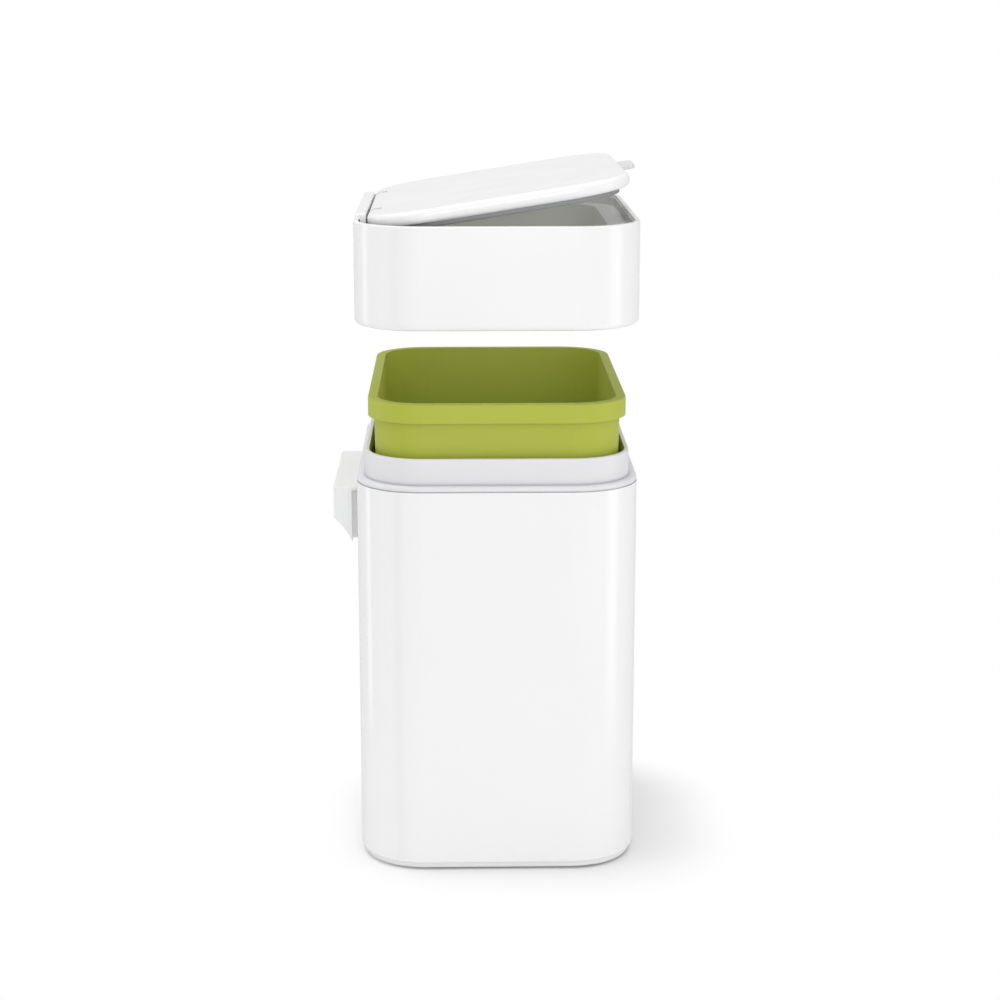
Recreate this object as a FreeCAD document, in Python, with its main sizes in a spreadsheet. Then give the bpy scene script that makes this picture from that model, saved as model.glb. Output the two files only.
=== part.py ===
import FreeCAD, Part
import math
import os
import Sketcher

# Kitchen compost caddy: a painted steel body with a lift-out bucket, a lift-off lid ring and a hinged lid.
# Millimetres, +Z up, origin on the floor under the middle of the body.
# -X is the hinge and dock side, +X the finger tab side, -Y the front.
# The lid ring and the lid are drawn closed, then raised and tilted to where they stand at rest.

doc = FreeCAD.newDocument("CompostCaddy")
V = FreeCAD.Vector
same_place = 1e-4
mm3_per_cm3 = 1000

# Driving sizes
sizes = [
    # Body shell
    ("shell_width", 150),
    ("shell_depth", 206),
    ("shell_radius", 35),
    ("shell_wall", 0.8),
    ("shell_height", 206),
    ("hem_reach", 11),
    ("hem_round", 1.6),
    # Clearances, and the overrun of cuts
    ("fit_gap", 0.2),
    ("move_gap", 0.3),
    ("screw_gap", 0.05),
    ("overrun", 1),
    # Base
    ("base_inset", 2),
    ("base_thickness", 3.2),
    ("base_round", 0.8),
    ("spigot_height", 2.4),
    ("spigot_wall", 1.6),
    ("mat_proud", 0.8),
    ("mat_recess", 1.2),
    ("mat_inset", 12),
    ("screw_radius", 1.4),
    ("screw_head_radius", 2.5),
    ("screw_head_height", 1.5),
    ("screw_drive_radius", 1.3),
    ("screw_drive_depth", 0.9),
    ("base_screw_inset", 7.2),
    ("base_screw_spacing", 80),
    ("base_screw_length", 6),
    # Neck collar
    ("flange_height", 3),
    ("flange_inset", 0.1),
    ("seam_gap", 0.7),
    ("seam_inset", 0.5),
    ("flange_round", 1.4),
    ("neck_height", 14),
    ("neck_inset", 4.5),
    ("neck_wall", 2.2),
    ("neck_round", 0.9),
    ("skirt_length", 13),
    ("skirt_wall", 2),
    # Bucket
    ("bucket_inset", 9.4),
    ("bucket_taper", 5),
    ("bucket_wall", 2.2),
    ("bucket_floor", 2.5),
    ("bucket_stand", 45.5),
    ("bucket_foot_round", 6),
    ("bucket_foot_recess", 1.2),
    ("bucket_foot_rim", 12),
    ("rim_overhang", 3),
    ("rim_height", 10),
    ("rim_web", 2),
    ("rim_skirt", 1.8),
    ("rim_round", 0.8),
    # Lid ring
    ("ring_raise", 81.4),
    ("ring_height", 53.7),
    ("ring_wall", 1.5),
    ("ring_hem_reach", 4),
    ("ring_hem_round", 2.8),
    ("ring_lip_reach", 2.6),
    ("ring_lip_round", 0.7),
    # Frame inside the lid ring
    ("frame_wall", 1.6),
    ("ledge_depth", 6),
    ("ledge_thickness", 2),
    ("ledge_reach", 11.5),
    ("hinge_ledge_reach", 19.4),
    ("chute_wall", 1.6),
    ("chute_length", 14),
    ("chute_corner", 25),
    # Hinge
    ("hinge_inset", 11),
    ("ear_radius", 3.2),
    ("ear_thickness", 8),
    ("ear_margin", 18),
    ("pin_radius", 1.25),
    ("pin_length", 22),
    ("pin_gap", 0.05),
    ("bush_wall", 0.75),
    ("hinge_cover_inset", 0.6),
    ("hinge_cover_gap", 1),
    ("hinge_cover_height", 3.2),
    ("hinge_cover_margin", 2),
    ("hinge_cover_round", 1.2),
    # Lid
    ("lid_open_angle", 9),
    ("lid_inset", 4.2),
    ("lid_thickness", 7),
    ("lid_seat_depth", 3),
    ("lid_top_wall", 2),
    ("lid_side_wall", 2.2),
    ("lid_tab_wall", 5.5),
    ("hinge_band", 9.6),
    ("lid_top_round", 3),
    ("lid_bottom_round", 3.4),
    ("notch_gap", 0.75),
    ("pan_thickness", 1.6),
    ("gasket_section", 4),
    ("gasket_margin", 0.6),
    ("gasket_round", 1),
    ("lid_screw_radius", 1),
    ("lid_screw_head_radius", 1.9),
    ("lid_screw_head_height", 0.9),
    ("lid_screw_drive_radius", 0.9),
    ("lid_screw_drive_depth", 0.5),
    ("lid_screw_length", 4),
    ("lid_screw_inset", 14),
    ("boss_radius", 2.6),
    # Finger tab
    ("tab_width", 36),
    ("tab_reach", 7.2),
    ("tab_root", 3),
    ("tab_thickness", 2),
    ("tab_lift", 0.5),
    ("tab_corner", 5),
    # Dock bracket on the hinge side of the body
    ("dock_reach", 14),
    ("dock_drop", 8.7),
    ("dock_face_height", 17.3),
    ("dock_height", 31),
    ("dock_curve_radius", 34),
    ("dock_cap_thickness", 2),
    ("dock_cap_round", 0.6),
    ("dock_spacer_thickness", 4),
    ("dock_spacer_inset", 2),
    ("dock_corner_round", 2),
    ("magnet_width", 24),
    ("magnet_height", 13),
    ("magnet_thickness", 6),
    ("magnet_spacing", 28),
    ("magnet_drop", 11),
    ("plate_width", 90),
    ("plate_margin", 1),
    ("plate_height", 18),
    ("plate_thickness", 1.2),
    ("dock_screw_margin", 6),
    ("dock_screw_drop", 20),
    ("dock_screw_length", 11),
]

sheet = doc.addObject("Spreadsheet::Sheet", "Sizes")
for row, (alias, number) in enumerate(sizes, start=1):
    sheet.set(f"A{row}", alias)
    sheet.set(f"B{row}", str(number))
    sheet.setAlias(f"B{row}", alias)

# Places and sizes that follow from the driving ones, kept as formulas in a second sheet
places = doc.addObject("Spreadsheet::Sheet", "Places")
drivers = {alias for alias, number in sizes}
derived = []


def ref(alias):
    sign = "-" if alias.startswith("-") else ""
    word = alias.lstrip("-")
    return f"{sign}{'Sizes' if word in drivers else 'Places'}.{word}"


def val(alias):
    word = alias.lstrip("-")
    number = float((sheet if word in drivers else places).get(word))
    return -number if alias.startswith("-") else number


def place(alias, formula):
    if alias in drivers or alias in derived:
        raise ValueError(f"{alias} is named twice")
    derived.append(alias)
    row = len(derived)
    words = [ref(word) if word in drivers else word for word in formula.split()]
    places.set(f"A{row}", alias)
    places.set(f"B{row}", "=" + " ".join(words))
    places.setAlias(f"B{row}", alias)


def plan(name, inset):
    # An outline that follows the shell's plan, set in by the given amount
    place(f"{name}_width", f"shell_width - 2 * ( {inset} )")
    place(f"{name}_depth", f"shell_depth - 2 * ( {inset} )")
    place(f"{name}_radius", f"shell_radius - ( {inset} )")


def span(name, low, high, depth, radius):
    # An outline between two X places that need not lie evenly about the middle
    place(f"{name}_width", f"( {high} ) - ( {low} )")
    place(f"{name}_centre", f"( ( {high} ) + ( {low} ) ) / 2")
    place(f"{name}_depth", depth)
    place(f"{name}_radius", radius)


# Levels
place("shell_bottom", "mat_proud + base_thickness")
place("hem_top", "shell_bottom + shell_wall")
place("shell_bore", "shell_height - shell_wall")
place("shell_top", "shell_bottom + shell_height")
place("neck_bottom", "shell_top + flange_height")
place("flange_bottom", "shell_top + seam_gap")
place("flange_band", "flange_height - seam_gap")
place("neck_top", "neck_bottom + neck_height")
place("skirt_bottom", "shell_top - skirt_length")
place("bucket_bottom", "shell_bottom + move_gap")
place("rim_top", "shell_top + bucket_stand")
place("bucket_height", "rim_top - bucket_bottom")
place("bucket_bore", "bucket_height - bucket_floor")
place("rim_bottom", "rim_top - rim_height")
place("rim_groove_height", "rim_height - rim_web")
place("bucket_draft", "atan( bucket_taper / bucket_height )")
place("ring_bottom", "neck_bottom + move_gap")
place("ring_top", "ring_bottom + ring_height")
place("frame_bottom", "ring_bottom + ring_wall")
place("frame_top", "ring_top - ring_wall")
place("frame_height", "ring_height - 2 * ring_wall")
place("ledge_top", "ring_top - ledge_depth")
place("ledge_bottom", "ledge_top - ledge_thickness")
place("chute_bottom", "ledge_bottom - chute_length")
place("lid_bottom", "ring_top - lid_seat_depth")
place("lid_top", "lid_bottom + lid_thickness")
place("hinge_z", "lid_bottom + lid_thickness / 2")

# Plans that follow the shell
plan("shell_in", "shell_wall")
plan("hem", "hem_reach")
plan("base", "base_inset")
plan("spigot", "hem_reach + fit_gap")
plan("spigot_in", "hem_reach + fit_gap + spigot_wall")
plan("mat", "mat_inset")
plan("mat_bed", "mat_inset - fit_gap")
plan("flange", "flange_inset")
plan("seam", "seam_inset")
plan("neck", "neck_inset")
plan("neck_in", "neck_inset + neck_wall")
plan("skirt", "shell_wall + fit_gap")
plan("skirt_in", "shell_wall + fit_gap + skirt_wall")
plan("bucket", "bucket_inset")
plan("bucket_in", "bucket_inset + bucket_wall")
plan("bucket_low", "bucket_inset + bucket_taper")
plan("bucket_foot", "bucket_inset + bucket_taper + bucket_foot_rim")
plan("rim", "bucket_inset - rim_overhang")
plan("rim_groove", "bucket_inset - rim_overhang + rim_skirt")
plan("ring_in", "ring_wall")
plan("ring_hem", "ring_hem_reach")
plan("ring_lip", "ring_lip_reach")
plan("frame", "ring_wall + fit_gap")
plan("frame_in", "ring_wall + fit_gap + frame_wall")

# Chute of the frame: its ledge is wider on the hinge side, where the ears stand
place("chute_left", "- frame_in_width / 2 + hinge_ledge_reach")
place("chute_right", "frame_in_width / 2 - ledge_reach")
span("chute", "chute_left", "chute_right", "frame_in_depth - 2 * ledge_reach", "chute_corner")
span("chute_out", "chute_left - chute_wall", "chute_right + chute_wall", "chute_depth + 2 * chute_wall",
     "chute_corner + chute_wall")

# Hinge line, ears, bushes and pins
place("hinge_x", "- shell_width / 2 + hinge_inset")
place("ear_left", "hinge_x - ear_radius")
place("ear_right", "hinge_x + ear_radius")
place("bush_bore", "pin_radius + pin_gap")
place("bush_radius", "bush_bore + bush_wall")
place("bush_hole", "bush_radius + screw_gap")
place("pin_hole", "pin_radius + screw_gap")
place("ear_y", "shell_depth / 2 - shell_radius - ear_margin")
for end, sign in (("front", "-"), ("back", "")):
    place(f"ear_{end}", f"{sign} ear_y + ear_thickness / 2")
    place(f"pin_{end}", f"{sign} ear_y + pin_length / 2")
    place(f"notch_{end}_low", f"{sign} ear_y - ear_thickness / 2 - notch_gap")
    place(f"notch_{end}_high", f"{sign} ear_y + ear_thickness / 2 + notch_gap")

# Lid and what it carries
place("lid_left", "hinge_x - lid_thickness / 2")
place("lid_right", "shell_width / 2 - lid_inset")
span("lid", "lid_left", "lid_right", "shell_depth - 2 * lid_inset", "shell_radius - lid_inset")
place("recess_left", "lid_left + hinge_band")
place("recess_right", "lid_right - lid_tab_wall")
span("recess", "recess_left", "recess_right", "lid_depth - 2 * lid_side_wall", "lid_radius - lid_side_wall")
span("pan", "recess_left + fit_gap", "recess_right - fit_gap", "recess_depth - 2 * fit_gap",
     "recess_radius - fit_gap")
span("gasket", "recess_left + gasket_margin", "recess_right - gasket_margin",
     "recess_depth - 2 * gasket_margin", "recess_radius - gasket_margin")
span("gasket_in", "recess_left + gasket_margin + gasket_section",
     "recess_right - gasket_margin - gasket_section", "gasket_depth - 2 * gasket_section",
     "gasket_radius - gasket_section")
place("recess_height", "lid_thickness - lid_top_wall")
place("pan_top", "lid_bottom + pan_thickness")
place("boss_height", "recess_height - pan_thickness")
place("gasket_height", "ledge_depth - lid_seat_depth - move_gap")
place("gasket_bottom", "lid_bottom - gasket_height")
place("notch_left", "lid_left - overrun")
place("notch_right", "ear_right + notch_gap")
place("lid_screw_left", "recess_left + lid_screw_inset")
place("lid_screw_right", "recess_right - lid_screw_inset")
place("lid_screw_y", "recess_depth / 2 - lid_screw_inset")
place("lid_screw_hole", "lid_screw_radius + screw_gap")
place("lid_head_hole", "lid_screw_head_radius + fit_gap")
place("tab_left", "lid_right - tab_root")
place("tab_right", "lid_right + tab_reach")
place("tab_slot_end", "lid_right + overrun")
place("tab_bottom", "ring_top + tab_lift")
place("tab_half", "tab_width / 2")

# Cover strip along the hinge
place("cover_left", "- shell_width / 2 + hinge_cover_inset")
place("cover_right", "lid_left - hinge_cover_gap")
place("cover_tongue", "- frame_in_width / 2 + fit_gap")
place("cover_top", "ring_top + hinge_cover_height")
place("cover_half", "shell_depth / 2 - shell_radius - hinge_cover_margin")
place("cover_length", "2 * cover_half")

# Mat and fasteners of the base
place("mat_height", "mat_proud + mat_recess")
place("screw_x", "shell_width / 2 - base_screw_inset")
place("screw_y", "base_screw_spacing / 2")
place("screw_hole", "screw_radius + screw_gap")
place("head_hole", "screw_head_radius + fit_gap")

# Dock bracket
place("dock_top", "shell_top - dock_drop")
place("housing_top", "dock_top - dock_cap_thickness")
place("dock_bend", "dock_top - dock_face_height")
place("dock_bottom", "dock_top - dock_height")
place("housing_height", "housing_top - dock_bottom")
place("cove_low", "dock_bottom - overrun")
place("shell_side", "- shell_width / 2")
place("shell_inside", "shell_side + shell_wall")
place("dock_outer", "shell_side - dock_reach")
place("cove_outer", "dock_outer - overrun")
place("dock_inner", "shell_side - dock_spacer_thickness")
place("plate_half", "plate_width / 2")
place("spacer_half", "plate_half + plate_margin")
place("dock_half", "spacer_half + dock_spacer_inset")
place("dock_width", "2 * dock_half")
place("spacer_bottom", "dock_bottom + dock_spacer_inset")
place("dock_screw_y", "plate_half - dock_screw_margin")
place("dock_screw_z", "dock_top - dock_screw_drop")
place("dock_screw_x", "shell_inside + plate_thickness + screw_head_height")
place("plate_bottom", "dock_screw_z - plate_height / 2")
place("plate_top", "dock_screw_z + plate_height / 2")
place("dock_screw_bite", "dock_screw_length - screw_head_height - plate_thickness - shell_wall"
      " - dock_spacer_thickness + fit_gap")
place("magnet_pocket", "magnet_thickness + fit_gap")
place("magnet_outer", "dock_inner - magnet_pocket")
place("magnet_low", "dock_top - magnet_drop - magnet_height / 2")
place("magnet_pocket_low", "magnet_low - fit_gap")
place("magnet_pocket_high", "magnet_low + magnet_height + fit_gap")
for end, sign in (("front", "-"), ("back", "")):
    place(f"magnet_{end}", f"{sign} magnet_spacing / 2 - magnet_width / 2")
    place(f"magnet_pocket_{end}_low", f"magnet_{end} - fit_gap")
    place(f"magnet_pocket_{end}_high", f"magnet_{end} + magnet_width + fit_gap")
doc.recompute()


# Shared ways of drawing

def bind(item, prop, alias):
    item.setExpression(prop, ref(alias))


def new_body(label):
    item = doc.addObject("PartDesign::Body", label)
    item.Label = label
    return item


def sketch_on(body, role, name, x=None, z=None):
    # A sketch on one of the body's own planes, shifted along it by x and off it by z
    sketch = body.newObject("Sketcher::SketchObject", name)
    plane = next(item for item in body.Origin.OriginFeatures if item.Role == role)
    sketch.AttachmentSupport = [(plane, "")]
    sketch.MapMode = "FlatFace"
    for axis, alias in (("x", x), ("z", z)):
        if alias:
            bind(sketch, f".AttachmentOffset.Base.{axis}", alias)
    return sketch


def fix(sketch, alias, *parts):
    index = sketch.addConstraint(Sketcher.Constraint(*parts, val(alias)))
    sketch.setExpression(f"Constraints[{index}]", ref(alias))


def loop(sketch, name):
    # Rounded rectangle about the sketch's origin: four sides and four quarter arcs
    half_x = val(f"{name}_width") / 2
    half_y = val(f"{name}_depth") / 2
    radius = val(f"{name}_radius")
    flat_x = half_x - radius
    flat_y = half_y - radius
    sides = [((-flat_x, -half_y), (flat_x, -half_y)), ((half_x, -flat_y), (half_x, flat_y)),
             ((flat_x, half_y), (-flat_x, half_y)), ((-half_x, flat_y), (-half_x, -flat_y))]
    middles = [(flat_x, -flat_y), (flat_x, flat_y), (-flat_x, flat_y), (-flat_x, -flat_y)]
    first = sketch.GeometryCount
    quarter = math.pi / 2
    for turn, ((start, end), middle) in enumerate(zip(sides, middles)):
        corner = Part.Circle(V(*middle, 0), V(0, 0, 1), radius)
        sketch.addGeometry(Part.LineSegment(V(*start, 0), V(*end, 0)), False)
        sketch.addGeometry(Part.ArcOfCircle(corner, (turn - 1) * quarter, turn * quarter), False)
    chain = [first + step for step in range(8)]
    rules = [Sketcher.Constraint("Tangent", chain[step], 2, chain[(step + 1) % 8], 1) for step in range(8)]
    rules += [Sketcher.Constraint("Horizontal", side) for side in (chain[0], chain[4])]
    rules += [Sketcher.Constraint("Vertical", side) for side in (chain[2], chain[6])]
    rules += [Sketcher.Constraint("Equal", chain[1], arc) for arc in (chain[3], chain[5], chain[7])]
    rules.append(Sketcher.Constraint("Symmetric", chain[1], 3, chain[5], 3, -1, 1))
    sketch.addConstraint(rules)
    fix(sketch, f"{name}_radius", "Radius", chain[1])
    fix(sketch, f"{name}_width", "DistanceX", chain[6], 1, chain[2], 1)
    fix(sketch, f"{name}_depth", "DistanceY", chain[0], 1, chain[4], 1)


def circle(sketch, x, y, radius):
    index = sketch.addGeometry(Part.Circle(V(val(x), val(y), 0), V(0, 0, 1), val(radius)), False)
    fix(sketch, x, "DistanceX", -1, 1, index, 3)
    fix(sketch, y, "DistanceY", -1, 1, index, 3)
    fix(sketch, radius, "Radius", index)


def polygon(sketch, corners):
    # Straight-sided outline through corners given as pairs of named places
    first = sketch.GeometryCount
    count = len(corners)
    points = [V(val(x), val(y), 0) for x, y in corners]
    for step in range(count):
        sketch.addGeometry(Part.LineSegment(points[step], points[(step + 1) % count]), False)
    sketch.addConstraint([Sketcher.Constraint("Coincident", first + step, 2, first + (step + 1) % count, 1)
                          for step in range(count)])
    for step, (x, y) in enumerate(corners):
        fix(sketch, x, "DistanceX", -1, 1, first + step, 1)
        fix(sketch, y, "DistanceY", -1, 1, first + step, 1)


def rectangle(sketch, low_x, low_y, high_x, high_y):
    polygon(sketch, [(low_x, low_y), (high_x, low_y), (high_x, high_y), (low_x, high_y)])


def pad(body, sketch, length, draft=None):
    feature = body.newObject("PartDesign::Pad", f"{sketch.Name}_pad")
    feature.Profile = sketch
    bind(feature, "Length", length)
    if draft:
        bind(feature, "TaperAngle", draft)
    doc.recompute()


def pocket(body, sketch, length=None, along=False, draft=None):
    # A cut against the sketch's normal, or along it; right through where no length is given
    before = body.Shape.Volume
    feature = body.newObject("PartDesign::Pocket", f"{sketch.Name}_cut")
    feature.Profile = sketch
    feature.Reversed = along
    if length:
        bind(feature, "Length", length)
    else:
        feature.Type = "ThroughAll"
    if draft:
        bind(feature, "TaperAngle", draft)
    doc.recompute()
    if not body.Shape.Volume < before:
        raise ValueError(f"{feature.Name} cuts nothing")


def outer_loop(shape, level):
    # Names of the edges of the widest closed outline that lies at one level
    flat = [(index, edge) for index, edge in enumerate(shape.Edges, start=1)
            if abs(edge.BoundBox.ZMin - level) < same_place and abs(edge.BoundBox.ZMax - level) < same_place]
    chains = Part.sortEdges([edge for index, edge in flat])
    widest = max(chains, key=lambda chain: sum(edge.Length for edge in chain))
    return [f"Edge{index}" for index, edge in flat
            if any(edge.CenterOfMass.isEqual(other.CenterOfMass, same_place) for other in widest)]


def fillet(body, radius, edges):
    base = body.Tip
    feature = body.newObject("PartDesign::Fillet", f"{base.Name}_round")
    feature.Base = (base, edges)
    bind(feature, "Radius", radius)
    doc.recompute()


def fillet_outline(body, radius, level):
    fillet(body, radius, outer_loop(body.Tip.Shape, val(level)))


def edges_where(body, wanted):
    return [f"Edge{index}" for index, edge in enumerate(body.Tip.Shape.Edges, start=1) if wanted(edge)]


def near(number, alias):
    return abs(number - val(alias)) < same_place


def set_at(item, x, y, z):
    for axis, alias in (("x", x), ("y", y), ("z", z)):
        if alias:
            bind(item, f".Placement.Base.{axis}", alias)


def cylinder(name, radius, height, x, y, z, turn):
    item = doc.addObject("Part::Cylinder", name)
    bind(item, "Radius", radius)
    bind(item, "Height", height)
    item.Placement = FreeCAD.Placement(V(0, 0, 0), turn)
    set_at(item, x, y, z)
    return item


def difference(name, base, tool):
    item = doc.addObject("Part::Cut", name)
    item.Base = base
    item.Tool = tool
    return item


def group(label, members):
    item = doc.addObject("Part::Compound", label)
    item.Label = label
    item.Links = members
    doc.recompute()
    return item


def screw(name, kind, length, x, y, z, turn):
    # Flat head with a six-sided drive recess on a plain shank, placed by the outer face of the head
    solid = doc.addObject("Part::Fuse", f"{name}_solid")
    solid.Base = cylinder(f"{name}_head", f"{kind}_head_radius", f"{kind}_head_height", x, y, z, turn)
    solid.Tool = cylinder(f"{name}_shank", f"{kind}_radius", length, x, y, z, turn)
    drive = doc.addObject("Part::Prism", f"{name}_drive")
    bind(drive, "Circumradius", f"{kind}_drive_radius")
    bind(drive, "Height", f"{kind}_drive_depth")
    drive.Placement = FreeCAD.Placement(V(0, 0, 0), turn)
    set_at(drive, x, y, z)
    return difference(name, solid, drive)


upright = FreeCAD.Rotation()
towards_dock = FreeCAD.Rotation(V(0, 0, 1), V(-1, 0, 0))
towards_front = FreeCAD.Rotation(V(0, 0, 1), V(0, -1, 0))
four_corners = (("", ""), ("", "-"), ("-", ""), ("-", "-"))

# Body shell: a steel tube with its lower edge turned in to carry the base
shell = new_body("body_shell")
sketch = sketch_on(shell, "XY_Plane", "shell_outline", z="shell_bottom")
loop(sketch, "shell")
pad(shell, sketch, "shell_height")
fillet_outline(shell, "hem_round", "shell_bottom")
sketch = sketch_on(shell, "XY_Plane", "shell_inner", z="shell_top")
loop(sketch, "shell_in")
pocket(shell, sketch, "shell_bore")
sketch = sketch_on(shell, "XY_Plane", "shell_hem", z="hem_top")
loop(sketch, "hem")
pocket(shell, sketch)
sketch = sketch_on(shell, "XY_Plane", "shell_screw_holes", z="hem_top")
for east, north in four_corners:
    circle(sketch, f"{east}screw_x", f"{north}screw_y", "screw_hole")
pocket(shell, sketch)
sketch = sketch_on(shell, "YZ_Plane", "shell_dock_holes")
for side in ("", "-"):
    circle(sketch, f"{side}dock_screw_y", "dock_screw_z", "screw_hole")
pocket(shell, sketch)

# Base: a plate under the hem, with a spigot that stands inside the hem's edge
base = new_body("base_tray")
sketch = sketch_on(base, "XY_Plane", "base_outline", z="mat_proud")
loop(sketch, "base")
pad(base, sketch, "base_thickness")
fillet_outline(base, "base_round", "mat_proud")
sketch = sketch_on(base, "XY_Plane", "base_spigot", z="shell_bottom")
loop(sketch, "spigot")
loop(sketch, "spigot_in")
pad(base, sketch, "spigot_height")
sketch = sketch_on(base, "XY_Plane", "base_mat_bed", z="mat_proud")
loop(sketch, "mat_bed")
pocket(base, sketch, "mat_recess", along=True)
for name, radius, depth in (("head_recesses", "head_hole", "screw_head_height"),
                            ("base_holes", "screw_hole", "base_thickness")):
    sketch = sketch_on(base, "XY_Plane", name, z="mat_proud")
    for east, north in four_corners:
        circle(sketch, f"{east}screw_x", f"{north}screw_y", radius)
    pocket(base, sketch, depth, along=True)
base_screws = [screw(f"base_screw_{count}", "screw", "base_screw_length", f"{east}screw_x", f"{north}screw_y",
                     "mat_proud", upright) for count, (east, north) in enumerate(four_corners)]
base_screws = group("base_screws", base_screws)

# Rubber mat that stands a little proud of the base's underside
mat = new_body("base_mat")
sketch = sketch_on(mat, "XY_Plane", "mat_outline")
loop(sketch, "mat")
pad(mat, sketch, "mat_height")

# Neck collar: a flange above the shell on a set-back seat, a neck above it and a skirt inside the shell
collar = new_body("neck_collar")
sketch = sketch_on(collar, "XY_Plane", "collar_flange", z="flange_bottom")
loop(sketch, "flange")
pad(collar, sketch, "flange_band")
fillet_outline(collar, "flange_round", "neck_bottom")
sketch = sketch_on(collar, "XY_Plane", "collar_seat", z="shell_top")
loop(sketch, "seam")
pad(collar, sketch, "seam_gap")
sketch = sketch_on(collar, "XY_Plane", "collar_neck", z="neck_bottom")
loop(sketch, "neck")
pad(collar, sketch, "neck_height")
fillet_outline(collar, "neck_round", "neck_top")
sketch = sketch_on(collar, "XY_Plane", "collar_skirt", z="skirt_bottom")
loop(sketch, "skirt")
pad(collar, sketch, "skirt_length")
sketch = sketch_on(collar, "XY_Plane", "collar_skirt_inner", z="skirt_bottom")
loop(sketch, "skirt_in")
pocket(collar, sketch, "skirt_length", along=True)
sketch = sketch_on(collar, "XY_Plane", "collar_opening", z="neck_top")
loop(sketch, "neck_in")
pocket(collar, sketch)

# Bucket: tapered walls, a turned-down rim and a foot with a hollow underside
bucket = new_body("bucket")
sketch = sketch_on(bucket, "XY_Plane", "bucket_outline", z="bucket_bottom")
loop(sketch, "bucket_low")
pad(bucket, sketch, "bucket_height", draft="bucket_draft")
fillet_outline(bucket, "bucket_foot_round", "bucket_bottom")
sketch = sketch_on(bucket, "XY_Plane", "bucket_rim", z="rim_bottom")
loop(sketch, "rim")
pad(bucket, sketch, "rim_height")
fillet_outline(bucket, "rim_round", "rim_top")
sketch = sketch_on(bucket, "XY_Plane", "bucket_rim_groove", z="rim_bottom")
loop(sketch, "rim_groove")
loop(sketch, "bucket")
pocket(bucket, sketch, "rim_groove_height", along=True)
sketch = sketch_on(bucket, "XY_Plane", "bucket_inner", z="rim_top")
loop(sketch, "bucket_in")
pocket(bucket, sketch, "bucket_bore", draft="-bucket_draft")
sketch = sketch_on(bucket, "XY_Plane", "bucket_foot", z="bucket_bottom")
loop(sketch, "bucket_foot")
pocket(bucket, sketch, "bucket_foot_recess", along=True)

# Lid ring: a band over the neck, with a lip at its top and a hem at its foot
ring = new_body("lid_ring_shell")
sketch = sketch_on(ring, "XY_Plane", "ring_outline", z="ring_bottom")
loop(sketch, "shell")
pad(ring, sketch, "ring_height")
fillet_outline(ring, "ring_hem_round", "ring_bottom")
fillet_outline(ring, "ring_lip_round", "ring_top")
sketch = sketch_on(ring, "XY_Plane", "ring_inner", z="frame_top")
loop(sketch, "ring_in")
pocket(ring, sketch, "frame_height")
sketch = sketch_on(ring, "XY_Plane", "ring_lip", z="ring_top")
loop(sketch, "ring_lip")
pocket(ring, sketch, "ring_wall")
sketch = sketch_on(ring, "XY_Plane", "ring_hem", z="frame_bottom")
loop(sketch, "ring_hem")
pocket(ring, sketch)

# Frame inside the ring: a wall between lip and hem, a ledge under the lid, a chute and two hinge ears
frame = new_body("lid_ring_frame")
sketch = sketch_on(frame, "XY_Plane", "frame_walls", z="frame_bottom")
loop(sketch, "frame")
loop(sketch, "frame_in")
pad(frame, sketch, "frame_height")
sketch = sketch_on(frame, "XY_Plane", "frame_ledge", z="ledge_bottom")
loop(sketch, "frame")
pad(frame, sketch, "ledge_thickness")
sketch = sketch_on(frame, "XY_Plane", "frame_chute", x="chute_out_centre", z="chute_bottom")
loop(sketch, "chute_out")
pad(frame, sketch, "chute_length")
sketch = sketch_on(frame, "XY_Plane", "frame_opening", x="chute_centre", z="ledge_top")
loop(sketch, "chute")
pocket(frame, sketch)
for end in ("front", "back"):
    sketch = sketch_on(frame, "XZ_Plane", f"ear_{end}_post", z=f"-ear_{end}")
    rectangle(sketch, "ear_left", "ledge_top", "ear_right", "hinge_z")
    pad(frame, sketch, "ear_thickness")
    sketch = sketch_on(frame, "XZ_Plane", f"ear_{end}_eye", z=f"-ear_{end}")
    circle(sketch, "hinge_x", "hinge_z", "ear_radius")
    pad(frame, sketch, "ear_thickness")
    sketch = sketch_on(frame, "XZ_Plane", f"ear_{end}_bore", z=f"-ear_{end}")
    circle(sketch, "hinge_x", "hinge_z", "bush_hole")
    pocket(frame, sketch, "ear_thickness", along=True)

# Hinge bushes in the ears, pins in the lid
bushes = []
pins = []
for end in ("front", "back"):
    ear_place = ("hinge_x", f"ear_{end}", "hinge_z", towards_front)
    sleeve = cylinder(f"bush_{end}_sleeve", "bush_radius", "ear_thickness", *ear_place)
    bore = cylinder(f"bush_{end}_bore", "bush_bore", "ear_thickness", *ear_place)
    bushes.append(difference(f"bush_{end}", sleeve, bore))
    pins.append(cylinder(f"pin_{end}", "pin_radius", "pin_length", "hinge_x", f"pin_{end}", "hinge_z",
                         towards_front))
bushes = group("hinge_bushes", bushes)
pins = group("hinge_pins", pins)

# Cover strip: lies on the ring's lip, with a tongue down to the ledge
cover = new_body("hinge_cover")
sketch = sketch_on(cover, "XZ_Plane", "cover_section", z="-cover_half")
polygon(sketch, [("cover_left", "ring_top"), ("cover_tongue", "ring_top"), ("cover_tongue", "ledge_top"),
                 ("cover_right", "ledge_top"), ("cover_right", "cover_top"), ("cover_left", "cover_top")])
pad(cover, sketch, "cover_length")
fillet(cover, "hinge_cover_round", edges_where(cover, lambda edge: near(edge.BoundBox.ZMin, "cover_top")))

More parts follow.
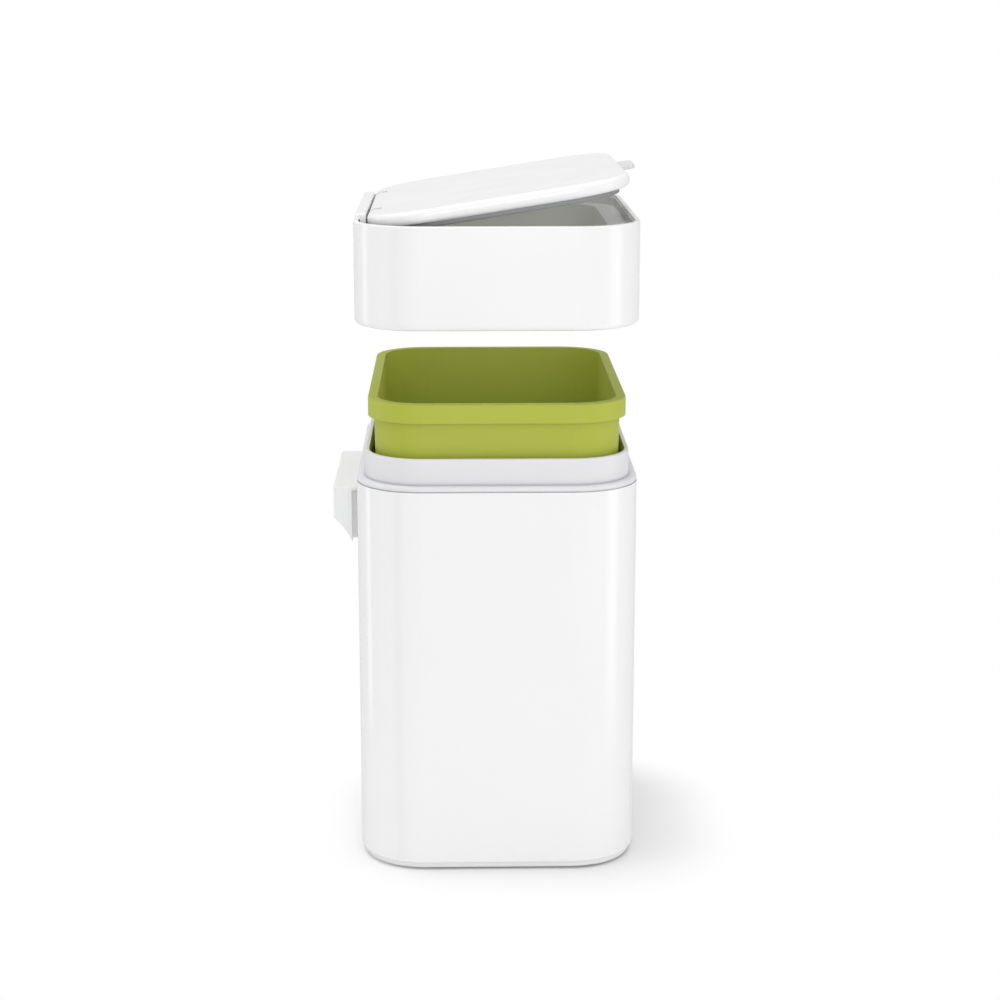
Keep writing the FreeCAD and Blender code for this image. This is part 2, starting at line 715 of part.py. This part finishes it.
# Lid: a shallow cap with a full-round hinge edge, notches for the ears and a slot for the tab
lid = new_body("lid_cover")
sketch = sketch_on(lid, "XY_Plane", "lid_outline", x="lid_centre", z="lid_bottom")
loop(sketch, "lid")
pad(lid, sketch, "lid_thickness")
fillet_outline(lid, "lid_top_round", "lid_top")
fillet_outline(lid, "lid_bottom_round", "lid_bottom")
sketch = sketch_on(lid, "XY_Plane", "lid_recess", x="recess_centre", z="lid_bottom")
loop(sketch, "recess")
pocket(lid, sketch, "recess_height", along=True)
lid_screw_places = [(x, y) for x in ("lid_screw_left", "lid_screw_right")
                    for y in ("lid_screw_y", "-lid_screw_y")]
sketch = sketch_on(lid, "XY_Plane", "lid_bosses", z="pan_top")
for x, y in lid_screw_places:
    circle(sketch, x, y, "boss_radius")
pad(lid, sketch, "boss_height")
sketch = sketch_on(lid, "XY_Plane", "lid_boss_holes", z="pan_top")
for x, y in lid_screw_places:
    circle(sketch, x, y, "lid_screw_hole")
pocket(lid, sketch, "boss_height", along=True)
for end in ("front", "back"):
    sketch = sketch_on(lid, "XY_Plane", f"lid_notch_{end}", z="lid_top")
    rectangle(sketch, "notch_left", f"notch_{end}_low", "notch_right", f"notch_{end}_high")
    pocket(lid, sketch)
    sketch = sketch_on(lid, "XZ_Plane", f"lid_pin_hole_{end}", z=f"-pin_{end}")
    circle(sketch, "hinge_x", "hinge_z", "pin_hole")
    pocket(lid, sketch, "pin_length", along=True)
sketch = sketch_on(lid, "XY_Plane", "lid_tab_slot", z="tab_bottom")
rectangle(sketch, "tab_left", "-tab_half", "tab_slot_end", "tab_half")
pocket(lid, sketch, "tab_thickness", along=True)

# Pan that closes the lid from below
pan = new_body("lid_pan")
sketch = sketch_on(pan, "XY_Plane", "pan_outline", x="pan_centre", z="lid_bottom")
loop(sketch, "pan")
pad(pan, sketch, "pan_thickness")
for name, radius, depth in (("pan_heads", "lid_head_hole", "lid_screw_head_height"),
                            ("pan_holes", "lid_screw_hole", "pan_thickness")):
    sketch = sketch_on(pan, "XY_Plane", name, z="lid_bottom")
    for x, y in lid_screw_places:
        circle(sketch, x, y, radius)
    pocket(pan, sketch, depth, along=True)
lid_screws = [screw(f"lid_screw_{count}", "lid_screw", "lid_screw_length", x, y, "lid_bottom", upright)
              for count, (x, y) in enumerate(lid_screw_places)]
lid_screws = group("lid_screws", lid_screws)

# Seal under the pan, which meets the frame's ledge
gasket = new_body("lid_gasket")
sketch = sketch_on(gasket, "XY_Plane", "gasket_outline", x="gasket_centre", z="gasket_bottom")
loop(sketch, "gasket")
loop(sketch, "gasket_in")
pad(gasket, sketch, "gasket_height")
fillet_outline(gasket, "gasket_round", "gasket_bottom")

# Finger tab in the lid's free edge
tab = new_body("lid_tab")
sketch = sketch_on(tab, "XY_Plane", "tab_outline", z="tab_bottom")
rectangle(sketch, "tab_left", "-tab_half", "tab_right", "tab_half")
pad(tab, sketch, "tab_thickness")
fillet(tab, "tab_corner", edges_where(tab, lambda edge: near(edge.BoundBox.XMin, "tab_right")
                                      and edge.BoundBox.ZLength > same_place))

# Dock bracket: a housing with a coved underside, its cap, a spacer against the shell and a plate inside it
housing = new_body("dock_housing")
sketch = sketch_on(housing, "XY_Plane", "housing_outline", z="dock_bottom")
rectangle(sketch, "dock_outer", "-dock_half", "dock_inner", "dock_half")
pad(housing, sketch, "housing_height")
fillet(housing, "dock_corner_round", edges_where(housing, lambda edge: near(edge.BoundBox.XMax, "dock_outer")
                                                 and edge.BoundBox.ZLength > same_place))
sketch = sketch_on(housing, "XZ_Plane", "housing_cove", z="-dock_half")
foot = V(val("dock_inner"), val("dock_bottom"), 0)
low_out = V(val("cove_outer"), val("cove_low"), 0)
high_out = V(val("cove_outer"), val("dock_bend"), 0)
bend = V(val("dock_outer"), val("dock_bend"), 0)
half_chord = (foot - bend) / 2
sagitta = val("dock_curve_radius") - math.sqrt(val("dock_curve_radius") ** 2 - half_chord.Length ** 2)
inward = V(-half_chord.y, half_chord.x, 0).normalize()
for line in ((foot, low_out), (low_out, high_out), (high_out, bend)):
    sketch.addGeometry(Part.LineSegment(*line), False)
sketch.addGeometry(Part.Arc(bend, bend + half_chord + inward * sagitta, foot), False)
arc_start, arc_end = (1, 2) if sketch.getPoint(3, 1).isEqual(bend, same_place) else (2, 1)
sketch.addConstraint([Sketcher.Constraint("Coincident", 0, 2, 1, 1),
                      Sketcher.Constraint("Coincident", 1, 2, 2, 1),
                      Sketcher.Constraint("Coincident", 2, 2, 3, arc_start),
                      Sketcher.Constraint("Coincident", 3, arc_end, 0, 1)])
for index, (x, y) in enumerate((("dock_inner", "dock_bottom"), ("cove_outer", "cove_low"),
                                ("cove_outer", "dock_bend"))):
    fix(sketch, x, "DistanceX", -1, 1, index, 1)
    fix(sketch, y, "DistanceY", -1, 1, index, 1)
fix(sketch, "dock_outer", "DistanceX", -1, 1, 2, 2)
fix(sketch, "dock_bend", "DistanceY", -1, 1, 2, 2)
fix(sketch, "dock_curve_radius", "Radius", 3)
pocket(housing, sketch, "dock_width", along=True)
sketch = sketch_on(housing, "YZ_Plane", "housing_magnet_pockets", z="dock_inner")
for end in ("front", "back"):
    rectangle(sketch, f"magnet_pocket_{end}_low", "magnet_pocket_low", f"magnet_pocket_{end}_high",
              "magnet_pocket_high")
pocket(housing, sketch, "magnet_pocket")
sketch = sketch_on(housing, "YZ_Plane", "housing_screw_holes", z="dock_inner")
for side in ("", "-"):
    circle(sketch, f"{side}dock_screw_y", "dock_screw_z", "screw_hole")
pocket(housing, sketch, "dock_screw_bite")

cap = new_body("dock_cap")
sketch = sketch_on(cap, "XY_Plane", "cap_outline", z="housing_top")
rectangle(sketch, "dock_outer", "-dock_half", "shell_side", "dock_half")
pad(cap, sketch, "dock_cap_thickness")
fillet(cap, "dock_corner_round", edges_where(cap, lambda edge: near(edge.BoundBox.XMax, "dock_outer")
                                             and edge.BoundBox.ZLength > same_place))
fillet(cap, "dock_cap_round", edges_where(cap, lambda edge: near(edge.BoundBox.ZMin, "dock_top")
                                          and not near(edge.BoundBox.XMin, "shell_side")))

spacer = new_body("dock_spacer")
sketch = sketch_on(spacer, "YZ_Plane", "spacer_outline", z="dock_inner")
rectangle(sketch, "-spacer_half", "spacer_bottom", "spacer_half", "housing_top")
pad(spacer, sketch, "dock_spacer_thickness")
plate = new_body("dock_backing_plate")
sketch = sketch_on(plate, "YZ_Plane", "plate_outline", z="shell_inside")
rectangle(sketch, "-plate_half", "plate_bottom", "plate_half", "plate_top")
pad(plate, sketch, "plate_thickness")
for piece in (spacer, plate):
    sketch = sketch_on(piece, "YZ_Plane", f"{piece.Name}_holes")
    for side in ("", "-"):
        circle(sketch, f"{side}dock_screw_y", "dock_screw_z", "screw_hole")
    pocket(piece, sketch)

# Magnets in the housing's pockets, and the screws that hold the bracket from inside the shell
magnets = []
for end in ("front", "back"):
    block = doc.addObject("Part::Box", f"magnet_block_{end}")
    bind(block, "Length", "magnet_thickness")
    bind(block, "Width", "magnet_width")
    bind(block, "Height", "magnet_height")
    set_at(block, "magnet_outer", f"magnet_{end}", "magnet_low")
    magnets.append(block)
magnets = group("dock_magnets", magnets)
dock_screws = [screw(f"dock_screw_{count}", "screw", "dock_screw_length", "dock_screw_x",
                     f"{side}dock_screw_y", "dock_screw_z", towards_dock)
               for count, side in enumerate(("", "-"))]
dock_screws = group("dock_screws", dock_screws)

# Rest places: the ring stands raised over the body, and the lid is ajar on its hinge
raised = FreeCAD.Placement(V(0, 0, val("ring_raise")), upright)
hinge_point = V(val("hinge_x"), 0, val("hinge_z"))
tilt = FreeCAD.Rotation(V(0, -1, 0), val("lid_open_angle"))
ajar = raised.multiply(FreeCAD.Placement(V(0, 0, 0), tilt, hinge_point))
standing = [shell, base, mat, base_screws, collar, housing, cap, spacer, plate, magnets, dock_screws, bucket]
on_ring = [ring, frame, bushes, cover]
on_lid = [lid, pan, gasket, lid_screws, pins, tab]
for piece in on_ring:
    piece.Placement = raised
for piece in on_lid:
    piece.Placement = ajar
doc.recompute()

# Every object has to be sound before a file is written
for item in doc.Objects:
    if "Invalid" in item.State or "Error" in item.State:
        raise RuntimeError(f"{item.Label} failed: {item.State}")
os.makedirs("parts", exist_ok=True)
for piece in standing + on_ring + on_lid:
    if piece.Shape.isNull() or not piece.Shape.isValid():
        raise RuntimeError(f"{piece.Label} has no valid shape")
    piece.Shape.exportStep(f"parts/{piece.Label}.step")
    box = piece.Shape.BoundBox
    print(f"{piece.Label}: {len(piece.Shape.Solids)} solid, {piece.Shape.Volume / mm3_per_cm3:.2f} cm3, "
          f"x {box.XMin:.1f} {box.XMax:.1f} y {box.YMin:.1f} {box.YMax:.1f} z {box.ZMin:.1f} {box.ZMax:.1f}")
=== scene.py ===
import math

import bpy
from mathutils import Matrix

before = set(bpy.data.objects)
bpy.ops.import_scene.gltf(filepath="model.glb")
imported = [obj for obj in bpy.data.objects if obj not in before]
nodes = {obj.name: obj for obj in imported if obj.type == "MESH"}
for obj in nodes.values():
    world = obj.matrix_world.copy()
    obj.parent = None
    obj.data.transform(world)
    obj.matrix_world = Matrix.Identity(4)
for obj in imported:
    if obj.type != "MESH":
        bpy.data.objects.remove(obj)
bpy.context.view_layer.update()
scene = bpy.context.scene
scene.view_settings.view_transform = "Standard"
print("frame loaded:", len(nodes), "nodes")

# What every surface has unless its own values say otherwise, how painted shade darkens the seams (the
# tone falls to "shade" as the open share of the view goes from "open" to "shut"), and how the two
# noises behave in all of them
mmPerMetre = 1000
plainSurface = {"metallic": 0, "ior": 1.5, "coat": 0, "coatRoughness": 0.1, "depth": 0, "stretch": (1, 1, 1),
                "detail": 2.0, "seamShadeMm": 0}
seamShadeSpec = {"shut": 0.3, "open": 0.8, "shade": 0.45, "samples": 8}
noiseSpec = {"grainRoughness": 0.55, "wavesDetail": 1.5, "wavesLow": 0.3, "wavesHigh": 0.7,
             "scatterMm": (2, 2, 1.5)}


def linearColour(hexText):
    # sRGB hex to linear light: a straight toe below 0.04045, a 2.4 power above it
    parts = [int(hexText[i:i + 2], 16) / 255 for i in (1, 3, 5)]
    return [c / 12.92 if c <= 0.04045 else ((c + 0.055) / 1.055) ** 2.4 for c in parts] + [1.0]


def addNode(tree, kind, sockets=None, **settings):
    # One node of the given kind; a socket takes a plain value or another node's output
    node = tree.nodes.new(kind)
    for name, value in settings.items():
        setattr(node, name, value)
    for name, value in (sockets or {}).items():
        if isinstance(value, bpy.types.NodeSocket):
            tree.links.new(value, node.inputs[name])
        else:
            node.inputs[name].default_value = value
    return node


def newMaterial(name):
    made = bpy.data.materials.new(name)
    made.use_nodes = True
    return made, made.node_tree


def surface(ownSpec):
    # A moulded, coated or metal surface. Millimetre sizes of the grain and of the slow waves become noise
    # frequencies in object space. The grain lifts the surface by spec["lift"] mm, and the slow waves shift
    # the roughness and the tone a little either side of the middle, as moulding flow and handling do.
    spec = {**plainSurface, **ownSpec}
    made, tree = newMaterial(spec["name"])
    shader = tree.nodes["Principled BSDF"]
    for socket, key in (("Metallic", "metallic"), ("IOR", "ior"), ("Coat Weight", "coat"),
                        ("Coat Roughness", "coatRoughness"), ("Subsurface Weight", "depth")):
        shader.inputs[socket].default_value = spec[key]
    shader.inputs["Subsurface Radius"].default_value = [mm / mmPerMetre for mm in noiseSpec["scatterMm"]]
    place = addNode(tree, "ShaderNodeTexCoord").outputs["Object"]
    stretched = addNode(tree, "ShaderNodeMapping", {"Vector": place, "Scale": spec["stretch"]})
    grain = addNode(tree, "ShaderNodeTexNoise", {
        "Vector": stretched.outputs["Vector"], "Scale": mmPerMetre / spec["grainMm"],
        "Detail": spec["detail"], "Roughness": noiseSpec["grainRoughness"]})
    waves = addNode(tree, "ShaderNodeTexNoise", {
        "Vector": place, "Scale": mmPerMetre / spec["wavesMm"], "Detail": noiseSpec["wavesDetail"]})
    tone = addNode(tree, "ShaderNodeMix", {
        0: waves.outputs["Fac"], 6: linearColour(spec["colours"][0]), 7: linearColour(spec["colours"][1])},
        data_type="RGBA")
    polish = addNode(tree, "ShaderNodeMapRange", {
        "Value": waves.outputs["Fac"], "From Min": noiseSpec["wavesLow"], "From Max": noiseSpec["wavesHigh"],
        "To Min": spec["roughness"][0], "To Max": spec["roughness"][1]})
    relief = addNode(tree, "ShaderNodeBump", {
        "Height": grain.outputs["Fac"], "Strength": 1.0, "Distance": spec["lift"] / mmPerMetre})
    colour = tone.outputs[2]
    if spec["seamShadeMm"]:
        # Painted shade in the seams: the tone is multiplied by a share that falls where neighbours within the
        # seam's reach close off the view
        clear = addNode(tree, "ShaderNodeAmbientOcclusion", {"Distance": spec["seamShadeMm"] / mmPerMetre},
                        samples=seamShadeSpec["samples"])
        shade = addNode(tree, "ShaderNodeMapRange", {
            "Value": clear.outputs["AO"], "From Min": seamShadeSpec["shut"], "From Max": seamShadeSpec["open"],
            "To Min": seamShadeSpec["shade"], "To Max": 1.0})
        shaded = addNode(tree, "ShaderNodeMix", {0: 1.0, 6: colour, 7: shade.outputs["Result"]},
                         data_type="RGBA", blend_type="MULTIPLY")
        colour = shaded.outputs[2]
    tree.links.new(colour, shader.inputs["Base Color"])
    tree.links.new(polish.outputs["Result"], shader.inputs["Roughness"])
    tree.links.new(relief.outputs["Normal"], shader.inputs["Normal"])
    return made


def dress(spec, slotName, *names):
    made = surface(spec)
    for name in names:
        mesh = nodes[name].data
        mesh.materials.clear()
        mesh.materials.append(made)


# White powder coat baked on sheet steel: clean gloss with a soft orange peel that bends the strip
# reflections, with painted shade in its seams
dress({"name": "powderCoatedSteel", "colours": ("#f1f1f1", "#f3f3f3"), "roughness": (0.2, 0.24), "coat": 0.35,
       "coatRoughness": 0.1, "grainMm": 2.4, "wavesMm": 60, "lift": 0.002, "seamShadeMm": 2.5}, "white_enamel",
      "body_shell")

# White moulded ABS: a polished mould leaves it glossy, with only the slow waves of shrinkage
gloss = {"name": "glossMouldedAbs", "colours": ("#f1f1f1", "#f3f3f3"), "roughness": (0.22, 0.27), "ior": 1.53,
         "coat": 0.2, "grainMm": 6, "wavesMm": 45, "lift": 0.001}
dress(gloss, "white_gloss_abs", "lid_ring_shell", "lid_cover", "hinge_cover")

# The finger tab is the same plastic and thin; its colour is greyed as painted shade, for the shade that falls
# on it
dress({**gloss, "name": "tabPaintedShadeAbs", "colours": ("#d6d7d8", "#dbdcdc")}, "white_gloss_abs", "lid_tab")

# White moulded polypropylene: a spark-eroded mould gives a fine even grain and a satin look, with painted
# shade in its seams
satin = {"name": "satinMouldedPolypropylene", "colours": ("#edeeee", "#efefef"), "roughness": (0.38, 0.46),
         "ior": 1.49, "depth": 0.1, "grainMm": 0.35, "wavesMm": 30, "lift": 0.006, "seamShadeMm": 3.0}
dress(satin, "white_satin_pp", "dock_housing", "dock_cap", "base_tray")

# The neck is the same plastic with the same painted shade in its seams, and its colour set a touch cooler and
# greyer
dress({**satin, "name": "coolSatinPolypropylene", "colours": ("#e2e2e5", "#e4e4e7")}, "white_satin_pp",
      "neck_collar")

# Light grey moulded polypropylene of the inner frame and the lid's underside: an even grain without gloss
dress({"name": "greyMouldedPolypropylene", "colours": ("#dededf", "#e2e2e2"), "roughness": (0.42, 0.5),
       "ior": 1.49, "grainMm": 0.4, "wavesMm": 25, "lift": 0.008}, "grey_pp", "lid_ring_frame", "lid_pan")

# Lime green moulded polypropylene: slightly waxy, a thin glow at the edges, faint flow marks, and painted
# shade in its seams, under the rim and at the neck
dress({"name": "limeMouldedPolypropylene", "colours": ("#aeb840", "#b2bc45"), "roughness": (0.48, 0.56),
       "ior": 1.42, "depth": 0.12, "grainMm": 0.45, "wavesMm": 35, "lift": 0.006, "seamShadeMm": 3.0}, "green_pp",
      "bucket")

# Grey silicone seal: soft, dusty matte
dress({"name": "greySilicone", "colours": ("#8d8e8f", "#939495"), "roughness": (0.55, 0.65), "ior": 1.41,
       "grainMm": 0.3, "wavesMm": 12, "lift": 0.006}, "grey_silicone", "lid_gasket")

# Black-grey rubber under the base: pressed sheet with a pebbled face
dress({"name": "pressedMatRubber", "colours": ("#3b3b3c", "#424243"), "roughness": (0.7, 0.82), "ior": 1.52,
       "grainMm": 0.8, "wavesMm": 20, "lift": 0.03, "detail": 3.0}, "mat_rubber", "base_mat")

# Pale grey rubber between the bracket and the body
dress({"name": "paleSpacerRubber", "colours": ("#e4e4e4", "#e8e8e8"), "roughness": (0.6, 0.7), "ior": 1.52,
       "grainMm": 0.5, "wavesMm": 15, "lift": 0.01}, "spacer_rubber", "dock_spacer")

# Zinc-plated steel screws: bright bluish grey, slightly clouded
dress({"name": "zincPlatedScrewSteel", "colours": ("#b9bcc0", "#c6c8cb"), "roughness": (0.28, 0.4),
       "metallic": 1, "grainMm": 0.25, "wavesMm": 2, "lift": 0.004}, "screw_steel",
      "base_screws", "dock_screws", "lid_screws")

# Ground hinge pins: fine marks that run round the pin, so the noise changes fastest along Y
dress({"name": "groundPinSteel", "colours": ("#c2c3c4", "#cccdce"), "roughness": (0.2, 0.3), "metallic": 1,
       "stretch": (1, 12, 1), "grainMm": 3, "wavesMm": 6, "lift": 0.003}, "pin_steel", "hinge_pins")

# Turned acetal bushes: waxy off-white with tool rings that follow each other along Y
dress({"name": "turnedAcetal", "colours": ("#e2e1dc", "#e7e6e1"), "roughness": (0.35, 0.45), "ior": 1.48,
       "depth": 0.15, "stretch": (1, 10, 1), "grainMm": 3, "wavesMm": 5, "lift": 0.006}, "acetal",
      "hinge_bushes")

# Zinc-plated sheet inside the shell: rolled grain along Y under clouded plating
dress({"name": "zincPlatedSheet", "colours": ("#aeb2b7", "#bdc0c4"), "roughness": (0.34, 0.48), "metallic": 1,
       "stretch": (12, 1, 12), "grainMm": 6, "wavesMm": 8, "lift": 0.004}, "zinc_plate",
      "dock_backing_plate")

# Nickel-plated magnets: warm mirror with faint tumbling marks
dress({"name": "nickelPlate", "colours": ("#c4c0b8", "#cdc9c1"), "roughness": (0.14, 0.22), "metallic": 1,
       "grainMm": 0.6, "wavesMm": 5, "lift": 0.002}, "magnet_nickel", "dock_magnets")
print("materials set:", len(bpy.data.materials))


def stageSheet(name, corners, material):
    # One flat sheet of the set, which isn't part of the object
    mesh = bpy.data.meshes.new(name)
    mesh.from_pydata(corners, [], [range(len(corners))])
    mesh.materials.append(material)
    sheet = bpy.data.objects.new(name, mesh)
    scene.collection.objects.link(sheet)
    return sheet


# Floor: white paper. Beside the caddy it shows the real light and so the shadow; the share of its own white
# that the camera sees grows smoothly with the distance outside a box on the floor (the length of what each
# offset from the middle has beyond the half size), so that the paper ends in a plain white ground. Mirror
# reflections pass through it, so that the strips show low on the shell too
floorSpec = {"half": 30.0, "paper": "#ffffff", "own": 0.04, "card": "#f6f6f6",
             "shadeMiddle": (0.016, -0.03, 0), "shadeHalf": (0.036, 0.03, 1), "near": 0.036, "far": 0.088}
paper, tree = newMaterial("studioPaper")
tree.nodes.remove(tree.nodes["Principled BSDF"])
ray = addNode(tree, "ShaderNodeLightPath")
spot = addNode(tree, "ShaderNodeTexCoord").outputs["Object"]
fromMiddle = addNode(tree, "ShaderNodeVectorMath", {0: spot, 1: floorSpec["shadeMiddle"]},
                     operation="SUBTRACT")
eitherSide = addNode(tree, "ShaderNodeVectorMath", {0: fromMiddle.outputs[0]}, operation="ABSOLUTE")
beyond = addNode(tree, "ShaderNodeVectorMath", {0: eitherSide.outputs[0], 1: floorSpec["shadeHalf"]},
                 operation="SUBTRACT")
outside = addNode(tree, "ShaderNodeVectorMath", {0: beyond.outputs[0], 1: (0, 0, 0)}, operation="MAXIMUM")
away = addNode(tree, "ShaderNodeVectorMath", {0: outside.outputs[0]}, operation="LENGTH")
ownShare = addNode(tree, "ShaderNodeMapRange", {
    "Value": away.outputs["Value"], "From Min": floorSpec["near"], "From Max": floorSpec["far"],
    "To Min": floorSpec["own"], "To Max": 1.0}, interpolation_type="SMOOTHSTEP")
cameraShare = addNode(tree, "ShaderNodeMath", {
    0: ray.outputs["Is Camera Ray"], 1: ownShare.outputs["Result"]}, operation="MULTIPLY")
lit = addNode(tree, "ShaderNodeBsdfDiffuse", {"Color": linearColour(floorSpec["card"])})
own = addNode(tree, "ShaderNodeEmission", {"Color": linearColour(floorSpec["paper"]), "Strength": 1.0})
both = addNode(tree, "ShaderNodeMixShader", {0: cameraShare.outputs[0], 1: lit.outputs[0], 2: own.outputs[0]})
tree.links.new(both.outputs[0], tree.nodes["Material Output"].inputs["Surface"])
half = floorSpec["half"]
floor = stageSheet("paperFloor", [(-half, -half, 0), (half, -half, 0), (half, half, 0), (-half, half, 0)],
                   paper)
floor.visible_glossy = False

# Black card: stands off the front left corner and faces the middle, out of the camera's sight, for the darker
# band on that corner. Its width runs square to the line from the middle to its place
cardSpec = {"at": (-0.36, -0.42), "halfWidth": 0.055, "low": -0.3, "high": 0.62, "tone": "#1c1c1c",
            "roughness": 0.9}
cardX, cardY = cardSpec["at"]
sideX, sideY = [cardSpec["halfWidth"] * part / math.hypot(cardX, cardY) for part in (-cardY, cardX)]
felt, tree = newMaterial("blackFelt")
tree.nodes["Principled BSDF"].inputs["Base Color"].default_value = linearColour(cardSpec["tone"])
tree.nodes["Principled BSDF"].inputs["Roughness"].default_value = cardSpec["roughness"]
low, high = cardSpec["low"], cardSpec["high"]
card = stageSheet("blackCard", [(cardX + side * sideX, cardY + side * sideY, z)
                                for side, z in ((-1, low), (1, low), (1, high), (-1, high))], felt)
card.visible_camera = False

# World: white to the camera, an even soft grey to everything else
worldSpec = {"seen": "#ffffff", "fill": "#ffffff", "level": 0.73}
world = bpy.data.worlds.new("studioWorld")
scene.world = world
world.use_nodes = True
tree = world.node_tree
ray = addNode(tree, "ShaderNodeLightPath")
seen = addNode(tree, "ShaderNodeBackground", {"Color": linearColour(worldSpec["seen"]), "Strength": 1.0})
fill = tree.nodes["Background"]
fill.inputs["Color"].default_value = linearColour(worldSpec["fill"])
fill.inputs["Strength"].default_value = worldSpec["level"]
sky = addNode(tree, "ShaderNodeMixShader", {
    0: ray.outputs["Is Camera Ray"], 1: fill.outputs[0], 2: seen.outputs[0]})
tree.links.new(sky.outputs[0], tree.nodes["World Output"].inputs["Surface"])

# Soft boxes: a broad key overhead, a low front fill that reaches under the ring, tall strips at both sides
# for the bright lines on the corners, and a small panel over the bucket that makes up for the ring's shade
aim = (0, 0, 0.19)
lamps = [
    {"name": "keyBox", "at": (-0.5, 0.0, 2.4), "size": (2.0, 2.0), "watts": 23.5},
    {"name": "frontBox", "at": (0.1, -2.3, 0.62), "size": (1.0, 0.7), "watts": 8.8},
    {"name": "rightStrip", "at": (1.5, -0.45, 0.15), "size": (0.6, 1.1), "watts": 2.65},
    {"name": "leftStrip", "at": (-1.4, 0.42, 0.15), "size": (0.28, 1.1), "watts": 1.45},
    {"name": "bucketPanel", "at": (0, 0, 0.29), "size": (0.1, 0.15), "watts": 0.027},
]
for lamp in lamps:
    data = bpy.data.lights.new(lamp["name"], "AREA")
    data.shape = "RECTANGLE"
    data.size, data.size_y = lamp["size"]
    data.energy = lamp["watts"]
    item = bpy.data.objects.new(lamp["name"], data)
    item.location = lamp["at"]
    item.visible_camera = False
    across = [a - b for a, b in zip(aim, lamp["at"])]
    level = math.hypot(across[0], across[1])
    item.rotation_euler = (math.pi / 2 + math.atan2(across[2], level), 0, math.atan2(-across[0], across[1]))
    scene.collection.objects.link(item)

# Camera: place, turn and focal length fitted to the photograph's own lines. The lens is the focal length in
# pixels times the sensor's millimetres for one pixel
cameraSpec = {"at": (-0.02107, -1.20487, 0.46200), "pitch": 0.228, "yaw": 0.020, "focalPx": 2169.9,
              "sensorMm": 36, "picturePx": 1000}
cameraData = bpy.data.cameras.new("photoCamera")
cameraData.sensor_width = cameraSpec["sensorMm"]
cameraData.lens = cameraSpec["focalPx"] * cameraSpec["sensorMm"] / cameraSpec["picturePx"]
camera = bpy.data.objects.new("photoCamera", cameraData)
camera.location = cameraSpec["at"]
camera.rotation_euler = (math.pi / 2 - cameraSpec["pitch"], 0, -cameraSpec["yaw"])
scene.collection.objects.link(camera)
scene.camera = camera
print("stage, lamps and camera set")
